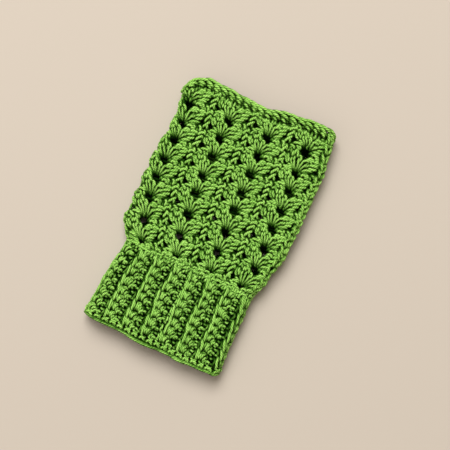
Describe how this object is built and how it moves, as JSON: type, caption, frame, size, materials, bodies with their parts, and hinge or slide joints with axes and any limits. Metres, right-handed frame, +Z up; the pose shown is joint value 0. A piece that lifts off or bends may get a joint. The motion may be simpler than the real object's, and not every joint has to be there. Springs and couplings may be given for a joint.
{
  "type": "fingerless crochet glove",
  "caption": "Fingerless crochet mitt lying flat: a hollow tube of shell stitches with eyelets and a thumb slit, on a ribbed wrist cuff, with edged openings.",
  "frame": {"origin": "under the middle of the bounding box, on the surface that the mitt lies on", "axes": "+Y from the wrist opening to the finger opening, +X across the hand towards the side with the thumb slit, +Z up through both layers"},
  "size_m": [0.0994, 0.1644, 0.016],
  "materials": {
    "green_yarn": "twisted wool-like yarn with a soft sheen, bright grass green"
  },
  "bodies": {
    "root": {"wrist_edging": "green_yarn", "ribbed_cuff": "green_yarn", "shell_hand": "green_yarn", "finger_edging": "green_yarn"}
  },
  "joints": []
}
